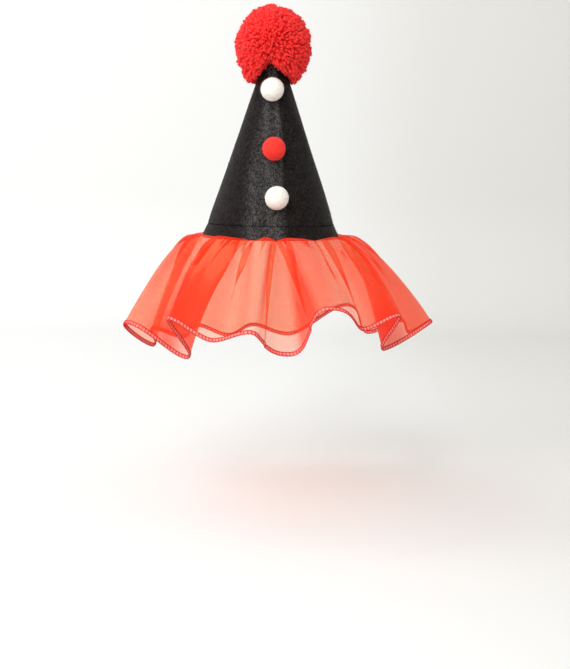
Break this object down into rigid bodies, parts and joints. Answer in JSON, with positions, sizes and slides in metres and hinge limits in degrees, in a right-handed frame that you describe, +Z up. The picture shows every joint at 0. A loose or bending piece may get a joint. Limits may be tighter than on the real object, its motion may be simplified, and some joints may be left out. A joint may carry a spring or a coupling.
{
  "type": "clown cone hat",
  "caption": "Small rolled felt cone hat with a yarn pompom on its tip, felt balls down its front and a sheer gathered ruffle standing out under its rim.",
  "frame": {"origin": "middle of the cone's rim, level with its edge, where the hat sits on a head", "axes": "+Z up along the cone to the pompom, -Y out of the front where the balls are, +X to the viewer's right"},
  "size_m": [0.2685, 0.2785, 0.3094],
  "materials": {
    "felt_cone": "matt black felt",
    "ruffle": "sheer red organza with a silky sheen",
    "ruffle_edge": "overlocked red thread",
    "pompom": "fluffy red yarn",
    "ball_top": "matt white wool felt",
    "ball_middle": "matt red wool felt",
    "ball_bottom": "matt white wool felt"
  },
  "bodies": {
    "root": {"felt_cone": "felt_cone", "ruffle": "ruffle", "ruffle_edge": "ruffle_edge", "pompom": "pompom", "ball_top": "ball_top", "ball_middle": "ball_middle", "ball_bottom": "ball_bottom"}
  },
  "joints": []
}
